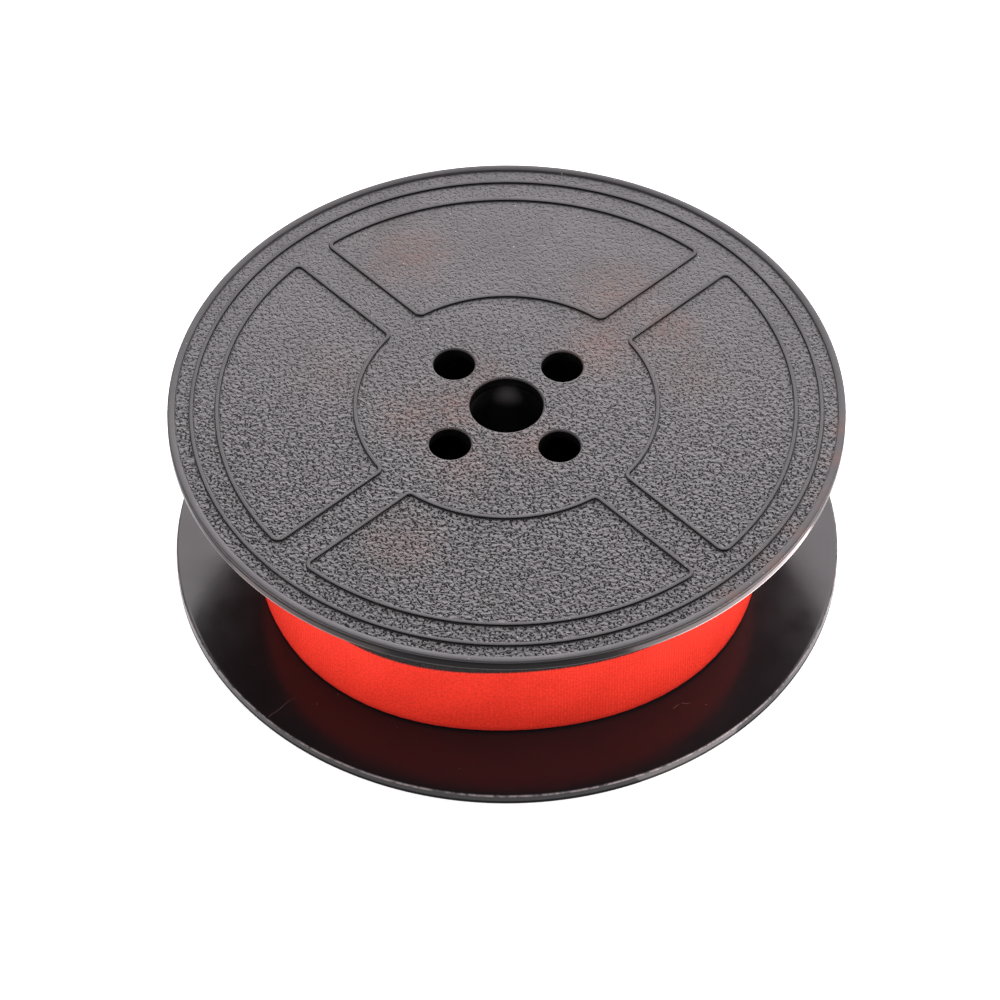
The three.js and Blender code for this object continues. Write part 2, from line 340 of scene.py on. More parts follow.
def build_flange(name, outside, inside, bore, edge):
    """One moulding as it lies at the bottom, its grained face down at zero."""
    b = Builder()
    face_rows = []
    for offset, depth, share in LINE:
        face_rows.append(b.loop(ring(RING_R + offset, depth, ROUND), grain=share))
        outline = sector_outline(offset)
        for i in range(SECTORS):
            a = math.radians(PATTERN_TURN + 180 / SECTORS + 360 / SECTORS * i)
            c, s = math.cos(a), math.sin(a)
            turned = [(x * c - y * s, x * s + y * c, depth) for x, y in outline]
            face_rows.append(b.loop(turned, grain=share))
    rim_rows = [b.loop(ring(FLANGE_R - r, z, ROUND), grain=g, worn=w) for r, z, g, w in RIM]
    b.rows(rim_rows[:RIM_FACE], OUTSIDE)
    # Painted shade: the top band of the edge takes the bore's near-black material.
    b.rows(rim_rows[RIM_FACE - 1:RIM_FACE + 1], BORE)
    b.rows(rim_rows[RIM_FACE:RIM_FACE + 2], EDGE)
    b.rows(rim_rows[RIM_FACE + 1:], INSIDE)
    face_rows.append(rim_rows[0])
    holes = [(x, y, DRIVE_R, SMALL // 2) for x, y in drive_places()]
    holes.append((0.0, 0.0, BORE_R, SMALL))
    mouths = [mouth(b, *hole) for hole in holes]
    mouth_rows = [rows[0] for rows in mouths]
    b.plane(face_rows + mouth_rows, mouth_rows, OUTSIDE, steep=LINE_SIDE)

    top = PANEL + SPIGOT_H
    spigot = lathe(b, (
        (SPIGOT_R + 0.35, PANEL),
        (SPIGOT_R + 0.10, PANEL + 0.04),
        (SPIGOT_R, PANEL + 0.16),
        (SPIGOT_R, top - 0.2),
        (SPIGOT_R - 0.06, top - 0.05),
        (SPIGOT_R - 0.18, top),
        (SPIGOT_R - SPIGOT_WALL + 0.18, top),
        (SPIGOT_R - SPIGOT_WALL + 0.05, top - 0.05),
        (SPIGOT_R - SPIGOT_WALL, top - 0.2),
        (SPIGOT_R - SPIGOT_WALL, PANEL),
    ), ROUND, BORE)
    b.bridge(rim_rows[-1], spigot[0], INSIDE)
    collar_top = PANEL + COLLAR_H
    collar = lathe(b, (
        (COLLAR_IN + COLLAR_WALL, PANEL),
        (COLLAR_IN + COLLAR_WALL, collar_top - 0.12),
        (COLLAR_IN + COLLAR_WALL - 0.1, collar_top),
        (COLLAR_IN + 0.1, collar_top),
        (COLLAR_IN, collar_top - 0.12),
        (COLLAR_IN, PANEL),
        (BORE_R + 0.08, PANEL),
        (BORE_R, PANEL - 0.08),
    ), SMALL, INSIDE)
    floor_holes = [collar[0]]
    for (x, y, radius, steps), rows in zip(holes[:-1], mouths[:-1]):
        end = b.loop(ring(radius, PANEL, steps, x, y))
        b.rows(rows, OUTSIDE)
        b.bridge(rows[-1], end, BORE)
        floor_holes.append(end)
    b.plane([spigot[-1]] + floor_holes, floor_holes, BORE)
    b.rows(mouths[-1], OUTSIDE)
    b.bridge(mouths[-1][-1], collar[-1], BORE)
    # The sides of the raised lines take the bore's near-black material too: painted shade.
    return b.object(name, [outside, inside, bore, edge, bore], sharp=50)


# ------------------------------------------------------------------ hub


def build_drum(name, material):
    """The winding drum, a tube with a slot for the ribbon's inner end."""
    slot_w = (peg_high.x - peg_low.x) + 2 * CLEAR
    slot_low, slot_high = peg_low.z - CLEAR, peg_high.z + CLEAR
    half = math.degrees(math.asin(slot_w / 2 / DRUM_R))
    turns = [SLOT_DIRECTION - half, SLOT_DIRECTION + half]
    rest = 360 - 2 * half
    steps = 143
    turns += [SLOT_DIRECTION + half + rest * (i + 1) / steps for i in range(steps - 1)]
    heights = [drum_low.z, slot_low, slot_high, drum_high.z]
    b = Builder()
    rows = [b.loop([(*polar(DRUM_R, t), z) for t in turns]) for z in heights]
    for k, (low, high) in enumerate(zip(rows, rows[1:])):
        for i in range(len(turns)):
            if k == 1 and i == 0:
                continue
            j = (i + 1) % len(turns)
            b.face((low[i], low[j], high[j], high[i]))
    drum = b.object(name, [material])
    wall = drum.modifiers.new("wall", "SOLIDIFY")
    wall.thickness = DRUM_WALL * MM
    wall.offset = -1
    edge = drum.modifiers.new("edge", "BEVEL")
    edge.width = 0.12 * MM
    edge.segments = 3
    edge.limit_method = "ANGLE"
    edge.angle_limit = math.radians(40)
    return applied(drum, 35)


def build_bush(name, material):
    b = Builder()
    lead = 0.02
    rows = lathe(b, (
        (BORE_R, bush_low.z + lead),
        (BORE_R + lead, bush_low.z),
        (BUSH_R - lead, bush_low.z),
        (BUSH_R, bush_low.z + lead),
        (BUSH_R, bush_high.z - lead),
        (BUSH_R - lead, bush_high.z),
        (BORE_R + lead, bush_high.z),
        (BORE_R, bush_high.z - lead),
    ), SMALL)
    b.bridge(rows[-1], rows[0])
    return b.object(name, [material], sharp=30)


def peg_place():
    return (peg_low.x + peg_high.x) / 2, (peg_low.y + peg_high.y) / 2


def build_peg(name, material):
    b = Builder()
    x, y = peg_place()
    radius = (peg_high.x - peg_low.x) / 2
    profile = (
        (0.45 * radius, peg_low.z), (0.8 * radius, peg_low.z + 0.12), (radius, peg_low.z + 0.5),
        (radius, peg_high.z - 0.5), (0.8 * radius, peg_high.z - 0.12), (0.45 * radius, peg_high.z),
    )
    rows = [b.loop(ring(r, z, 40, x, y)) for r, z in profile]
    b.rows(rows)
    b.face(list(reversed(rows[0])))
    b.face(rows[-1])
    return b.object(name, [material], sharp=40)


# ------------------------------------------------------------------ ribbon


def pack_shape(radius, degrees):
    """The winding isn't quite round: it is a little fuller between its flats."""
    fullness = (radius - DRUM_R) / (PACK_R - DRUM_R)
    return radius + LOBES * fullness * math.cos(math.radians(LOBE_COUNT * (degrees + LOBE_TURN)))


def tail_point(share):
    """The loose end's middle line, from 0 where it leaves the winding to 1."""
    angle = TAIL_START + (TAIL_END - TAIL_START) * share
    radius = pack_shape(PACK_R, angle) + TAIL_LIFT * share * share
    return Vector(polar(radius, angle))


def ribbon_path():
    """The whole ribbon in plan: round the peg, out of the slot, the turns, the loose end."""
    points = []
    peg = Vector(peg_place())
    out = Vector(polar(1, SLOT_DIRECTION))
    side = Vector((-out.y, out.x))
    around = (peg_high.x - peg_low.x) / 2 + 0.11
    for i in range(PEG_STEPS + 1):
        a = math.radians(-90 - 180 * i / PEG_STEPS)
        points.append(peg + (out * math.cos(a) + side * math.sin(a)) * around)
    first = SLOT_DIRECTION + math.degrees(0.08)
    start_r = DRUM_R + 0.09
    last = TAIL_START + 360 * TURNS + 360
    count = int((last - first) / 360 * TURN_STEPS)
    for i in range(1, count):
        turn = first + (last - first) * i / count
        radius = start_r + (PACK_R - start_r) * i / count
        points.append(Vector(polar(pack_shape(radius, turn), turn)))
    for i in range(TAIL_STEPS + 1):
        points.append(tail_point(i / TAIL_STEPS))
    return points


def build_ribbon(name, material):
    """One strip of cloth, a closed thin band along its whole length."""
    path = ribbon_path()
    plan = np.array([(p.x, p.y) for p in path])
    step = np.diff(plan, axis=0)
    along = np.concatenate([[0.0], np.cumsum(np.linalg.norm(step, axis=1))])
    ahead = np.gradient(plan, axis=0)
    ahead /= np.linalg.norm(ahead, axis=1)[:, None]
    out = np.stack([ahead[:, 1], -ahead[:, 0]], 1)
    uneven = random.Random(7)
    knots = [uneven.uniform(0.0, LIFT) for _ in range(int(along[-1] / LIFT_PERIOD) + 3)]
    lift = np.interp(along, np.arange(len(knots)) * LIFT_PERIOD, knots)
    across = (0.0, 0.25, 0.5, 0.75, 1.0)
    b = Builder()
    rows, places = [], []
    for i in range(len(path)):
        row = []
        for side in (1, -1):
            for share in across if side == 1 else reversed(across):
                x, y = plan[i] + out[i] * side * CLOTH / 2
                row.append((x, y, RIBBON_Z + lift[i] + share * RIBBON_W))
                places.append((along[i] - along[-1 - TAIL_STEPS], share * RIBBON_W))
        rows.append(b.loop(row))
    for i, (a, c) in enumerate(zip(rows, rows[1:])):
        for j in range(len(a)):
            k = (j + 1) % len(a)
            b.face((a[j], a[k], c[k], c[j]))
    b.face(rows[0])
    b.face(list(reversed(rows[-1])))
    ribbon = b.object(name, [material], sharp=60)
    corners = np.zeros(len(ribbon.data.loops), np.int32)
    ribbon.data.loops.foreach_get("vertex_index", corners)
    for key, column in (("along", 0), ("across", 1)):
        attribute = ribbon.data.attributes.new(key, "FLOAT", "CORNER")
        values = np.array([p[column] for p in places], np.float32)
        attribute.data.foreach_set("value", values[corners])
    return punched(ribbon), along[-1]


def punched(ribbon):
    """Cuts the hole that the eyelet's barrel goes through."""
    b = Builder()
    rows = [
        b.loop([(x, y, z) for y, z, _ in ring(EYELET_BARREL, 0, 48)])
        for x in (-4 * CLOTH, 4 * CLOTH)
    ]
    b.bridge(*rows)
    b.face(rows[0])
    b.face(list(reversed(rows[1])))
    punch = b.object("punch", [])
    punch.data.transform(on_tail(EYELET_AT))
    cut = ribbon.modifiers.new("hole", "BOOLEAN")
    cut.operation = "DIFFERENCE"
    cut.solver = "EXACT"
    cut.object = punch
    ribbon = applied(ribbon, 60)
    bpy.data.objects.remove(punch)
    return ribbon


# ------------------------------------------------------------------ eyelet and hook


def on_tail(share):
    """A matrix that carries +X to the outward side of the loose end at `share`."""
    place = tail_point(share)
    along = (tail_point(min(share + 0.002, 1)) - tail_point(share - 0.002)).normalized()
    turn = math.atan2(-along.x, along.y)
    middle = Vector((place.x, place.y, RIBBON_Z + RIBBON_W / 2)) * MM
    return Matrix.Translation(middle) @ Matrix.Rotation(turn, 4, "Z")


def build_eyelet(name, material):
    b = Builder()
    face, sheet = CLOTH / 2 + 0.12, 0.16
    rolled = []
    for side in (-1, 1):
        rim = [
            (EYELET_BARREL, face), (EYELET_FLANGE - 0.12, face), (EYELET_FLANGE, face + 0.06),
            (EYELET_FLANGE - 0.05, face + sheet), (EYELET_BARREL + 0.35, face + sheet + 0.12),
            (EYELET_BARREL - 0.05, face + sheet + 0.14), (EYELET_BORE + 0.14, face + sheet + 0.02),
            (EYELET_BORE, face - 0.1),
        ]
        rolled.append([(r, side * z) for r, z in (reversed(rim) if side < 0 else rim)])
    profile = rolled[0] + rolled[1]
    rows = []
    for r, x in profile:
        rows.append(b.loop([(x, yy, zz) for yy, zz, _ in ring(r, 0, 64)]))
    b.rows(rows)
    b.bridge(rows[-1], rows[0])
    eyelet = b.object(name, [material], sharp=50)
    eyelet.data.transform(on_tail(EYELET_AT))
    return eyelet


def build_hook(name, material):
    """Thin sheet folded over the ribbon's end, with a narrow tongue whose tip is curled."""
    gap = CLOTH / 2 + 0.14
    b = Builder()
    wall = gap + HOOK_SHEET / 2
    grip = [-HOOK_GRIP * (1 - i / 4) for i in range(5)]
    fold = [math.radians(a) for a in range(20, 180, 20)]
    centre = [(x, wall) for x in grip]
    centre += [(wall * math.sin(a), wall * math.cos(a)) for a in fold]
    centre += [(x, -wall) for x in reversed(grip)]
    strip(b, centre, HOOK_SHEET, HOOK_SIDE, RIBBON_W - HOOK_SIDE)
    root = wall + HOOK_SHEET / 2 - 0.02
    tongue = [(root + HOOK_CURL * i, 0.0) for i in range(int(HOOK_TONGUE / HOOK_CURL))]
    tip = tongue[-1][0]
    curl = [math.radians(a) for a in range(20, 181, 20)]
    tongue += [(tip + HOOK_CURL * math.sin(a), HOOK_CURL * (math.cos(a) - 1)) for a in curl]
    middle = RIBBON_W / 2
    strip(b, tongue, HOOK_SHEET * 0.8, middle - HOOK_TONGUE_W / 2, middle + HOOK_TONGUE_W / 2)
    hook = b.object(name, [material], sharp=40)
    place = tail_point(1)
    along = (tail_point(1) - tail_point(0.99)).normalized()
    outward = Vector((along.y, -along.x))
    turn = Matrix((
        (along.x, outward.x, 0, place.x * MM),
        (along.y, outward.y, 0, place.y * MM),
        (0, 0, 1, RIBBON_Z * MM),
        (0, 0, 0, 1),
    ))
    hook.data.transform(turn)
    turn_outward(hook.data)
    return hook


def strip(builder, centre, thick, low, high):
    """A bent band of sheet along `centre` in plan, with slightly rounded edges."""
    plan = np.array(centre)
    ahead = np.gradient(plan, axis=0)
    ahead /= np.linalg.norm(ahead, axis=1)[:, None]
    out = np.stack([-ahead[:, 1], ahead[:, 0]], 1) * thick / 2
    soft = thick * 0.3
    rows = []
    for p, o in zip(plan, out):
        row = []
        for share, z in ((0.6, low), (1, low + soft), (1, high - soft), (0.6, high),
                         (-0.6, high), (-1, high - soft), (-1, low + soft), (-0.6, low)):
            row.append((*(p + o * share), z))
        rows.append(builder.loop(row))
    builder.rows(rows)
    builder.face(list(reversed(rows[0])))
    builder.face(rows[-1])


# ------------------------------------------------------------------ materials


class Shader:
    """A small hand for building a node material."""

    def __init__(self, name):
        self.material = bpy.data.materials.new(name)
        self.material.use_nodes = True
        self.tree = self.material.node_tree
        self.main = self.tree.nodes["Principled BSDF"]
        coordinates = self.tree.nodes.new("ShaderNodeTexCoord")
        mapping = self.tree.nodes.new("ShaderNodeMapping")
        mapping.inputs["Scale"].default_value = (1 / MM,) * 3
        self.link(coordinates.outputs["Object"], mapping.inputs["Vector"])
        self.place = mapping.outputs["Vector"]   # the point, in millimetres

    def link(self, a, b):
        self.tree.links.new(a, b)

    def feed(self, value, socket):
        """Links a node's output to a socket, or sets a plain value on it."""
        if hasattr(value, "links"):
            self.link(value, socket)
        else:
            socket.default_value = value

    def set(self, **values):
        for key, value in values.items():
            self.feed(value, self.main.inputs[key.replace("_", " ")])

    def math(self, kind, a, b=0.0, clamp=False):
        node = self.tree.nodes.new("ShaderNodeMath")
        node.operation = kind
        node.use_clamp = clamp
        for socket, value in zip(node.inputs, (a, b)):
            self.feed(value, socket)
        return node.outputs[0]

    def noise(self, scale, detail=2.0, rough=0.5, distort=0.0, vector=None):
        node = self.tree.nodes.new("ShaderNodeTexNoise")
        node.inputs["Scale"].default_value = scale
        node.inputs["Detail"].default_value = detail
        node.inputs["Roughness"].default_value = rough
        node.inputs["Distortion"].default_value = distort
        self.link(vector or self.place, node.inputs["Vector"])
        return node.outputs["Fac"]

    def warp(self, scale, amount):
        """The point, pushed about by up to `amount` millimetres."""
        push = self.tree.nodes.new("ShaderNodeTexNoise")
        push.inputs["Scale"].default_value = scale
        push.inputs["Detail"].default_value = 1.0
        self.link(self.place, push.inputs["Vector"])
        node = self.tree.nodes.new("ShaderNodeVectorMath")
        node.operation = "MULTIPLY_ADD"
        self.link(push.outputs["Color"], node.inputs[0])
        node.inputs[1].default_value = (2 * amount,) * 3
        self.link(self.place, node.inputs[2])
        return node.outputs["Vector"]

    def voronoi(self, scale, flat=False):
        """How far the point is from the nearest of many scattered ones."""
        node = self.tree.nodes.new("ShaderNodeTexVoronoi")
        node.voronoi_dimensions = "2D" if flat else "3D"
        node.inputs["Scale"].default_value = scale
        self.link(self.place, node.inputs["Vector"])
        return node.outputs["Distance"]

    def stretch(self, scale, vector=None):
        node = self.tree.nodes.new("ShaderNodeMapping")
        node.inputs["Scale"].default_value = scale
        self.link(vector or self.place, node.inputs["Vector"])
        return node.outputs["Vector"]

    def dents(self, spacing, half_length, half_width):
        """Separate short strokes turned every way in the XY plane, 1 inside and 0 outside."""
        cells = self.tree.nodes.new("ShaderNodeTexVoronoi")
        cells.voronoi_dimensions = "2D"
        cells.inputs["Scale"].default_value = 1.0
        grid = self.stretch((1 / spacing,) * 3, vector=self.warp(2.4, 0.10))
        self.link(grid, cells.inputs["Vector"])
        apart = self.tree.nodes.new("ShaderNodeVectorMath")
        apart.operation = "SUBTRACT"
        self.link(grid, apart.inputs[0])
        self.link(cells.outputs["Position"], apart.inputs[1])
        turned = self.tree.nodes.new("ShaderNodeVectorRotate")
        turned.rotation_type = "Z_AXIS"
        self.link(apart.outputs["Vector"], turned.inputs["Vector"])
        angle = self.math("MULTIPLY", cells.outputs["Color"], 2 * math.pi)
        self.link(angle, turned.inputs["Angle"])
        size = (spacing / half_length, spacing / half_width, 0)
        flat = self.stretch(size, vector=turned.outputs["Vector"])
        length = self.tree.nodes.new("ShaderNodeVectorMath")
        length.operation = "LENGTH"
        self.link(flat, length.inputs[0])
        return self.ramp(length.outputs["Value"], 0.1, 1.15, 1.0, 0.0)

    def ramp(self, value, low, high, start=0.0, end=1.0):
        node = self.tree.nodes.new("ShaderNodeMapRange")
        node.interpolation_type = "SMOOTHSTEP"
        for key, number in (("From Min", low), ("From Max", high), ("To Min", start), ("To Max", end)):
            node.inputs[key].default_value = number
        self.link(value, node.inputs["Value"])
        return node.outputs["Result"]

    def mix(self, share, a, b):
        node = self.tree.nodes.new("ShaderNodeMix")
        node.data_type = "RGBA"
        for socket, value in zip((node.inputs[0], node.inputs[6], node.inputs[7]), (share, a, b)):
            self.feed((*value, 1.0) if isinstance(value, tuple) else value, socket)
        return node.outputs[2]

    def attribute(self, name):
        node = self.tree.nodes.new("ShaderNodeAttribute")
        node.attribute_name = name
        return node.outputs["Fac"]

    def vector(self, x, y, z=0.0):
        node = self.tree.nodes.new("ShaderNodeCombineXYZ")
        for socket, value in zip(node.inputs, (x, y, z)):
            self.feed(value, socket)
        return node.outputs[0]

    def bump(self, height, depth, strength=1.0):
        """Bumps of `depth` millimetres for a height from 0 to 1."""
        node = self.tree.nodes.new("ShaderNodeBump")
        node.inputs["Strength"].default_value = strength
        node.inputs["Distance"].default_value = depth * MM
        self.link(height, node.inputs["Height"])
        return node.outputs["Normal"]

    def paint_shade(self, share, colour, rough, specular):
        """Paints shade where `share` is 1: a near-black, duller shader mixed in for places that light
        doesn't reach.
        """
        shade_black = self.tree.nodes.new("ShaderNodeBsdfPrincipled")
        shade_black.inputs["Base Color"].default_value = (*colour, 1.0)
        shade_black.inputs["Roughness"].default_value = rough
        shade_black.inputs["Specular IOR Level"].default_value = specular
        blend = self.tree.nodes.new("ShaderNodeMixShader")
        self.link(share, blend.inputs[0])
        self.link(self.main.outputs[0], blend.inputs[1])
        self.link(shade_black.outputs[0], blend.inputs[2])
        self.link(blend.outputs[0], self.tree.nodes["Material Output"].inputs["Surface"])

    def axis(self, name, vector=None):
        """One coordinate of the point, or of another vector."""
        node = self.tree.nodes.new("ShaderNodeSeparateXYZ")
        self.link(vector or self.place, node.inputs[0])
        return node.outputs[name]

    def stroke(self, start, end, width):
        """1 on a straight scratch from one (x, y) to another, seen along Z, and 0 off it."""
        x, y = start
        length = math.hypot(end[0] - x, end[1] - y)
        turn = math.atan2(end[1] - y, end[0] - x)
        node = self.tree.nodes.new("ShaderNodeMapping")
        node.inputs["Rotation"].default_value = (0, 0, -turn)
        c, s = math.cos(turn), math.sin(turn)
        node.inputs["Location"].default_value = (-x * c - y * s, x * s - y * c, 0)
        self.link(self.warp(1.1, 0.12), node.inputs["Vector"])
        side = self.math("ABSOLUTE", self.axis("Y", node.outputs["Vector"]))
        along = self.axis("X", node.outputs["Vector"])
        inside = self.ramp(side, width * 0.3, width, 1.0, 0.0)
        inside = self.math("MULTIPLY", inside, self.ramp(along, 0.0, 0.1))
        return self.math("MULTIPLY", inside, self.ramp(along, length * 0.4, length, 1.0, 0.0))

    def distance(self, a, place):
        """How far the point `a` is from a fixed place."""
        node = self.tree.nodes.new("ShaderNodeVectorMath")
        node.operation = "DISTANCE"
        self.link(a, node.inputs[0])
        node.inputs[1].default_value = place
        return node.outputs["Value"]

    def speck(self, x, y, radius):
        """1 on a small round speck of a flange, seen along Z, and 0 off it."""
        apart = self.distance(self.stretch((1, 1, 0)), (x, y, 0))
        return self.ramp(apart, radius * 0.5, radius, 1.0, 0.0)

    def union(self, shares):
        """The largest of several shares."""
        total = shares[0]
        for share in shares[1:]:
            total = self.math("MAXIMUM", total, share)
        return total

    def spot(self, x, y, radius, blur):
        """From 1 at a point of a flange to 0 beyond its ragged edge, seen along Z."""
        apart = self.distance(self.stretch((1, 1, 0)), (x, y, 0))
        return self.ramp(self.math("ADD", apart, blur), radius * 0.3, radius * 1.3, 1.0, 0.0)


# Brown ink smudges on the grained faces: (x, y, radius, strength).
SMUDGES = (
    (7.6, 7.0, 3.4, 0.9), (12.6, 8.6, 2.6, 0.85), (8.3, 12.8, 3.6, 0.7), (-4.1, -0.3, 2.8, 0.9),
    (-8.4, 16.4, 3.6, 0.75), (-7.4, -1.4, 2.8, 0.7), (2.0, -4.1, 2.6, 0.6), (-3.2, -6.6, 2.6, 0.55),
    (-7.6, -14.8, 2.8, 0.6), (-2.1, 3.5, 2.2, 0.6), (14.5, 4.0, 3.0, 0.35), (-14.0, 3.0, 3.0, 0.25),
    (26.6, -2.0, 0.9, 0.9), (26.3, -5.6, 1.1, 1.0), (25.2, -9.2, 1.2, 1.0), (23.5, -12.8, 1.3, 1.0),
    (21.2, -16.4, 1.3, 1.0), (18.2, -19.6, 1.2, 0.9),
)

GRAIN_NEAR = -14.0               # from here towards -Y the grain is at full depth
GRAIN_BLACK = (0.021, 0.0195, 0.021)
INK_BROWN = (0.100, 0.050, 0.038)
# Painted glints: the pale grey of specks scattered over the grain.
GLINT_DUST_GREY = (0.25, 0.24, 0.24)
# Painted shade in the grain's deeper furrows.
PIT_SHADE = (0.004, 0.0035, 0.0038)


def grained_plastic(name):
    """Black moulding with a spark-eroded grain of short furrows, smooth on its raised lines.

    The grain is deepest towards -Y and gets softer towards +Y, as it looks in soft focus. Painted
    shade fills its deeper furrows, strongest towards -Y, and pale specks over it are painted glints.
    """
    s = Shader(name)
    grain = s.attribute("grain")
    deep = s.union([s.dents(0.39, 0.135, 0.085), s.dents(0.6, 0.22, 0.08)])
    deep = s.math("MULTIPLY", deep, grain)
    swell = s.math("MULTIPLY", s.ramp(s.noise(3.3, 1.5, 0.5, 0.2), 0.25, 0.72), grain)
    height = s.math("SUBTRACT", s.math("MULTIPLY", swell, 0.62), deep)
    height = s.math("MULTIPLY", height, s.ramp(s.axis("Y"), GRAIN_NEAR, 20.0, 1.0, 0.3))
    soft = s.math("MULTIPLY", s.noise(0.5, 3.0, 0.6), 4.0)
    ink = s.union([
        s.math("MULTIPLY", s.spot(x, y, radius + 2.0, soft), strength)
        for x, y, radius, strength in SMUDGES
    ])
    ink = s.math("MULTIPLY", ink, s.ramp(s.noise(1.2, 3.0, 0.6), 0.3, 0.6, 0.35, 1.0), True)
    base = s.mix(ink, GRAIN_BLACK, INK_BROWN)
    # Painted glints: pale grey specks scattered over the grain.
    specks = s.ramp(s.voronoi(0.3, flat=True), 0.008, 0.02, 1.0, 0.0)
    base = s.mix(specks, base, GLINT_DUST_GREY)
    rough = s.ramp(s.noise(0.25, 3.0, 0.6), 0.3, 0.7, 0.31, 0.37)
    rough = s.math("ADD", rough, s.ramp(s.axis("Y"), -10.0, 20.0, 0.0, 0.07))
    rough = s.math("ADD", rough, s.math("MULTIPLY", s.math("SUBTRACT", 1.0, grain), 0.13))
    rough = s.math("ADD", rough, s.math("MULTIPLY", ink, 0.15))
    s.set(Base_Color=base, Roughness=rough, Normal=s.bump(height, 0.065))
    # Painted shade: a near-black, duller shader fills the deeper furrows, strongest towards -Y.
    pit_shade = s.math("MULTIPLY", s.ramp(deep, 0.22, 0.62), s.ramp(s.axis("Y"), GRAIN_NEAR, 14.0, 1.0, 0.2))
    s.paint_shade(pit_shade, PIT_SHADE, 0.6, 0.08)
    return s.material


# Marks on the lower flange's inner face: one scratch from the rim, a fibre, and specks of lint.
SCRATCH = ((-18.3, -19.4), (-15.9, -16.9), 0.06)
FIBRE = ((13.85, -17.6), (14.55, -16.95), 0.06), ((14.5, -17.0), (15.4, -16.9), 0.05)
LINT_BROWN = (0.085, 0.062, 0.055)
# Pale line along a rim's rounded corner: edge wear and a painted highlight.
WEAR_HIGHLIGHT_GREY = (0.26, 0.22, 0.22)
LINT = ((-12.96, -16.93, 0.08), (-14.58, -18.02, 0.07), (-3.0, -24.3, 0.06), (16.4, -17.2, 0.07))


def gloss_plastic(name, base, specular, wear_highlight_share, marked):
    """Smooth black moulding with faint dust and marks, and a pale line along the rim's rounded corner
    that is edge wear and a painted highlight.
    """
    s = Shader(name)
    cloud = s.noise(0.35, 3.0)
    specks = s.ramp(s.voronoi(0.42), 0.0, 0.03, 1.0, 0.0)
    if marked:
        marks = [s.stroke(*part) for part in (SCRATCH, *FIBRE)] + [s.speck(*speck) for speck in LINT]
        specks = s.union([specks] + marks)
    # The pale corner line, edge wear and painted highlight, broken into patches.
    painted_highlight = s.ramp(s.noise(1.6, 3.0, 0.7), 0.36, 0.6, 0.15, 1.0)
    worn = s.math("MULTIPLY", s.attribute("worn"), painted_highlight)
    base = s.mix(specks, base, LINT_BROWN)
    base = s.mix(s.math("MULTIPLY", worn, wear_highlight_share), base, WEAR_HIGHLIGHT_GREY)
    rough = s.ramp(cloud, 0.3, 0.7, 0.15, 0.21)
    s.set(Base_Color=base, Roughness=rough, Normal=s.bump(s.noise(0.6, 2.0), 0.006))
    s.main.inputs["Specular IOR Level"].default_value = specular
    return s.material


# Painted highlight: the soft glow on the far wall of the bore.
BORE_HIGHLIGHT_GREY = (0.16, 0.15, 0.15)
# Painted shade: the bore plastic is darker than the moulding, for walls that light hardly reaches.
BORE_SHADE_COLOURS = ((0.0020, 0.0019, 0.0020), (0.0038, 0.0034, 0.0034))


def bore_plastic(name, shade=1.0, painted_highlight=None):
    """Near-black painted shade, as in bores that light hardly reaches, with a painted highlight round
    one point.
    """
    s = Shader(name)
    cloud = s.noise(0.9, 3.0, 0.6)
    low, high = [tuple(shade * part for part in colour) for colour in BORE_SHADE_COLOURS]
    base = s.mix(s.ramp(cloud, 0.4, 0.7), low, high)
    # Painted highlight: a soft pale patch round one point of the wall.
    if painted_highlight is not None:
        near = s.ramp(s.distance(s.place, painted_highlight), 0.0, 1.5, 1.0, 0.0)
        base = s.mix(near, base, BORE_HIGHLIGHT_GREY)
    s.set(Base_Color=base, Roughness=s.ramp(cloud, 0.3, 0.7, 0.5, 0.62))
    s.main.inputs["Specular IOR Level"].default_value = 0.07
    return s.material


REDS = (0.88, 0.036, 0.016), (0.97, 0.042, 0.020)
RED_BETWEEN_THREADS = (0.45, 0.010, 0.004)
RED_AT_EDGE = (0.42, 0.012, 0.008)
BLACKS = (0.008, 0.007, 0.007), (0.030, 0.026, 0.025)


def inked_nylon(name):
    """Fine ribbed cloth, red below and black above with a ragged line between."""
    s = Shader(name)
    along, across = s.attribute("along"), s.attribute("across")
    ribs = s.math("MULTIPLY", along, 1 / RIB_PITCH)
    wave = s.math("SINE", s.math("MULTIPLY", ribs, 2 * math.pi))
    thread = s.noise(1.0, 2.0, 0.6, 0.0, s.vector(ribs, s.math("MULTIPLY", across, 5.0)))
    teeth = s.noise(1.0, 1.0, 0.6, 0.0, s.vector(s.math("MULTIPLY", ribs, 1.9), 3.0))
    phase = s.math("MULTIPLY", s.math("ADD", along, DRIFT_PEAK), 2 * math.pi / DRIFT_PERIOD)
    drift = s.math("COSINE", phase)
    line = s.math("ADD", across, s.math("MULTIPLY", s.math("SUBTRACT", teeth, 0.5), 0.34))
    line = s.math("SUBTRACT", line, s.math("MULTIPLY", drift, DRIFT))
    black = s.ramp(line, COLOUR_LINE - 0.09, COLOUR_LINE + 0.11)
    tone = s.noise(0.25, 2.0, 0.5, 0.0, s.vector(along, across))
    red = s.mix(s.ramp(tone, 0.3, 0.7), *REDS)
    red = s.mix(s.ramp(thread, 0.3, 0.65), s.mix(0.42, red, RED_BETWEEN_THREADS), red)
    low = s.ramp(across, 0.0, 0.5, 0.55, 0.0)
    red = s.mix(low, red, RED_AT_EDGE)
    ink = s.mix(s.ramp(thread, 0.3, 0.7), *BLACKS)
    height = s.math("ADD", s.math("MULTIPLY", wave, 0.4), thread)
    s.set(Base_Color=s.mix(black, red, ink), Roughness=0.7, Normal=s.bump(height, 0.02, 0.8))
    s.main.inputs["Specular IOR Level"].default_value = 0.2
    return s.material


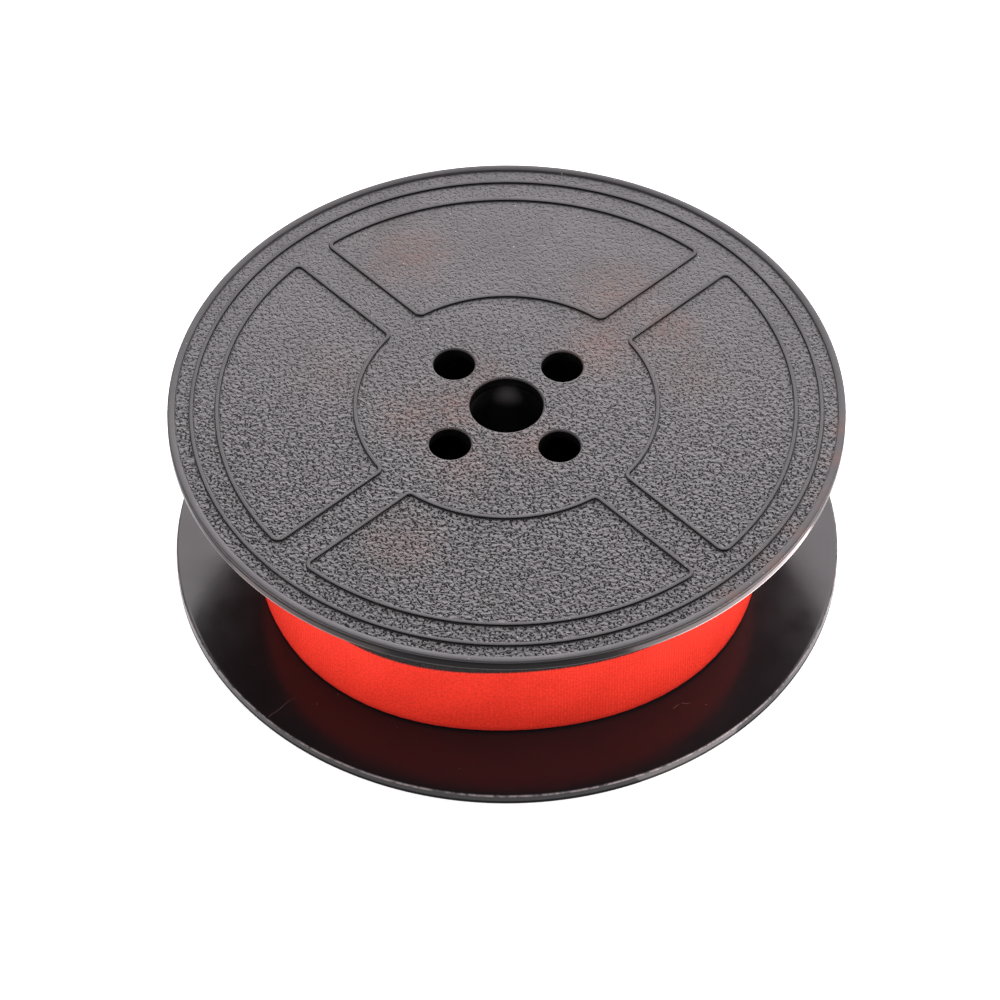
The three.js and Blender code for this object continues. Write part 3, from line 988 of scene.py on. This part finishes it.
def metal(name, colour, rough, tint):
    """Brushed metal, tarnished to `tint` in clouds."""
    s = Shader(name)
    cloud = s.noise(1.5, 3.0)
    brushed = s.noise(1.0, 2.0, 0.5, 0.0, s.stretch((14.0, 14.0, 0.8)))
    base = s.mix(s.ramp(cloud, 0.45, 0.75), colour, tint)
    s.set(
        Base_Color=base,
        Metallic=1.0,
        Roughness=s.ramp(cloud, 0.3, 0.7, rough, rough + 0.14),
        Normal=s.bump(brushed, 0.01, 0.5),
    )
    return s.material


def floor_paper(name):
    """A white table lit a little from below, so that no hard shadow stands on it."""
    s = Shader(name)
    s.set(Base_Color=(0.9, 0.9, 0.9, 1.0), Roughness=0.9)
    s.main.inputs["Specular IOR Level"].default_value = 0.1
    s.main.inputs["Emission Color"].default_value = (1, 1, 1, 1)
    s.main.inputs["Emission Strength"].default_value = 0.6
    return s.material


# ------------------------------------------------------------------ camera and light

VIEW_TURN = 2.05                 # degrees round the spool from the -Y side
VIEW_PITCH = 48.076
VIEW_ROLL = -0.313
CAMERA_PLACE = (-0.554, -305.252, 328.448)   # from the middle of the upper face
LENS = 202.82
STUDIO_TINT = (1, 0.945, 0.98)
FLOOR_Z = -0.02                  # just below the spool, so the two faces don't coincide


def add_camera():
    data = bpy.data.cameras.new("camera")
    data.lens = LENS
    data.sensor_width = 36.0
    data.clip_start = 0.01
    data.clip_end = 20
    camera = bpy.data.objects.new("camera", data)
    x, y, z = CAMERA_PLACE
    turn = Matrix.Rotation(math.radians(VIEW_TURN), 4, "Z")
    pitch = Matrix.Rotation(math.radians(90 - VIEW_PITCH), 4, "X")
    roll = Matrix.Rotation(math.radians(VIEW_ROLL), 4, "Z")
    place = Matrix.Translation((x * MM, y * MM, (HEIGHT + z) * MM))
    camera.matrix_world = turn @ place @ pitch @ roll
    bpy.context.scene.collection.objects.link(camera)
    bpy.context.scene.camera = camera


def light_only(lamp, pieces):
    """Lets a lamp reach only some pieces."""
    lit = bpy.data.collections.new(lamp.name + "_receivers")
    for piece in pieces:
        lit.objects.link(piece)
    lamp.light_linking.receiver_collection = lit


def area_lamp(name, width, height, radiance, tint):
    """A rectangular lamp, sizes in metres, that the camera itself doesn't see."""
    data = bpy.data.lights.new(name, "AREA")
    data.shape = "RECTANGLE"
    data.size, data.size_y = width, height
    data.energy = radiance * math.pi * data.size * data.size_y
    data.color = tint
    lamp = bpy.data.objects.new(name, data)
    lamp.visible_camera = False
    bpy.context.scene.collection.objects.link(lamp)
    return lamp


def add_softbox(name, azimuth, elevation, distance, size, radiance):
    """A lamp that looks at the spool. Azimuth 0 is behind it as the camera sees it."""
    lamp = area_lamp(name, *size, radiance, STUDIO_TINT)
    a, e = math.radians(90 + VIEW_TURN - azimuth), math.radians(elevation)
    out = Vector((math.cos(a) * math.cos(e), math.sin(a) * math.cos(e), math.sin(e)))
    lamp.location = out * distance
    lamp.rotation_euler = out.to_track_quat("Z", "Y").to_euler()
    return lamp


def add_table_light(name, low, high, radiance, tint, receivers):
    """A lamp let into the table beside the spool, which only a flange's edge catches."""
    width, height = (high[0] - low[0]) * MM, (high[1] - low[1]) * MM
    lamp = area_lamp(name, width, height, radiance, tint)
    turn = Matrix.Rotation(math.radians(VIEW_TURN), 4, "Z")
    middle = ((low[0] + high[0]) / 2 * MM, (low[1] + high[1]) / 2 * MM, 0.01 * MM)
    lamp.matrix_world = turn @ Matrix.Translation(middle) @ Matrix.Rotation(math.pi, 4, "X")
    light_only(lamp, receivers)


def add_world(low, overhead):
    """A plain surround, darker overhead than near the horizon."""
    world = bpy.data.worlds.new("studio")
    world.use_nodes = True
    tree = world.node_tree
    place = tree.nodes.new("ShaderNodeTexCoord")
    parts = tree.nodes.new("ShaderNodeSeparateXYZ")
    fade = tree.nodes.new("ShaderNodeMapRange")
    fade.interpolation_type = "SMOOTHSTEP"
    fade.inputs["From Min"].default_value = 0.35
    fade.inputs["From Max"].default_value = 0.9
    fade.inputs["To Min"].default_value = low
    fade.inputs["To Max"].default_value = overhead
    tree.links.new(place.outputs["Generated"], parts.inputs[0])
    tree.links.new(parts.outputs["Z"], fade.inputs["Value"])
    tree.links.new(fade.outputs["Result"], tree.nodes["Background"].inputs["Strength"])
    tree.nodes["Background"].inputs["Color"].default_value = (*STUDIO_TINT, 1)
    bpy.context.scene.world = world


def add_floor():
    b = Builder()
    half = 900.0
    corners = ((-half, -half), (half, -half), (half, half), (-half, half))
    b.face(b.loop([(x, y, FLOOR_Z) for x, y in corners]))
    floor = b.object("floor", [floor_paper("floor_paper")])
    return floor


# ------------------------------------------------------------------ scene


def finish_piece(piece, slot, *nodes):
    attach(piece, "root")
    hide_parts(*nodes)
    return piece


add_camera()
add_world(low=1.06, overhead=0.35)
add_softbox("back_softbox", azimuth=10, elevation=30, distance=1.0, size=(1.0, 1.0), radiance=5.2)
add_softbox("right_softbox", azimuth=95, elevation=26, distance=0.15, size=(0.10, 0.06), radiance=5.6)
left_softbox = add_softbox(
    "left_softbox", azimuth=-105, elevation=26, distance=0.16, size=(0.08, 0.05), radiance=5.0
)
table = add_floor()
bpy.context.scene.view_settings.view_transform = "Standard"

grain = grained_plastic("grained_black_plastic")
# The lower flange's pale rim corner is edge wear and a painted highlight.
gloss = gloss_plastic(
    "smooth_black_plastic", base=(0.0125, 0.0115, 0.0125), specular=0.32, wear_highlight_share=1.0, marked=True
)
clean = gloss_plastic(
    "upper_smooth_plastic", base=(0.009, 0.0085, 0.009), specular=0.22, wear_highlight_share=0.05, marked=False
)
# Painted shade: a darker copy of the black plastic for the upper flange's edge.
edge = gloss_plastic(
    "upper_edge_shaded_plastic", base=(0.0045, 0.004, 0.0042), specular=0.08, wear_highlight_share=0.0, marked=False
)
# Painted shade: near-black for the bores, the drum, each rim's top edge band and the raised lines'
# sides.
shade_black = bore_plastic("shaded_black_plastic")
# Painted shade three times lighter in the spindle bush, with a painted highlight on the bore's far
# wall.
sleeve = bore_plastic("highlighted_bore_plastic", shade=3.0, painted_highlight=(0.0, BORE_R, HEIGHT - 2.3))
cloth = inked_nylon("inked_nylon")
brass = metal("eyelet_brass", colour=(0.62, 0.42, 0.16), rough=0.22, tint=(0.36, 0.22, 0.08))
steel = metal("hook_steel", colour=(0.55, 0.55, 0.56), rough=0.25, tint=(0.42, 0.41, 0.40))

lower = build_flange("lower_flange_moulding", grain, gloss, shade_black, gloss)
finish_piece(lower, "grained_plastic", "lower_flange")
upper = build_flange("upper_flange_moulding", grain, clean, shade_black, edge)
upper.data.transform(Matrix.Translation((0, 0, HEIGHT * MM)) @ Matrix.Rotation(math.pi, 4, "X"))
finish_piece(upper, "grained_plastic", "upper_flange")
add_table_light(
    "upper_table_light", (19, -45), (70, -4), radiance=10.5, tint=(1, 0.84, 0.84), receivers=[upper]
)
add_table_light(
    "left_table_light", (-70, -50), (-19, -12), radiance=2.6, tint=(1, 0.8, 0.78), receivers=[upper]
)
add_table_light(
    "lower_table_light", (10.5, -40), (90, -20), radiance=2.3, tint=(1, 0.92, 0.92), receivers=[lower]
)
finish_piece(build_drum("winding_drum", shade_black), "gloss_plastic", "hub_drum")
finish_piece(build_bush("spindle_bush_sleeve", sleeve), "gloss_plastic", "spindle_bush")
finish_piece(build_peg("anchor_peg", gloss), "gloss_plastic", "ribbon_anchor_peg")
ribbon, ribbon_length = build_ribbon("inked_ribbon", cloth)
finish_piece(ribbon, "red_ribbon", "ribbon_red_half", "ribbon_black_half")
light_only(left_softbox, [upper, ribbon, table])
eyelet = finish_piece(build_eyelet("brass_eyelet", brass), "eyelet_brass", "reversing_eyelet")
hook = finish_piece(build_hook("folded_end_hook", steel), "hook_steel", "ribbon_end_hook")
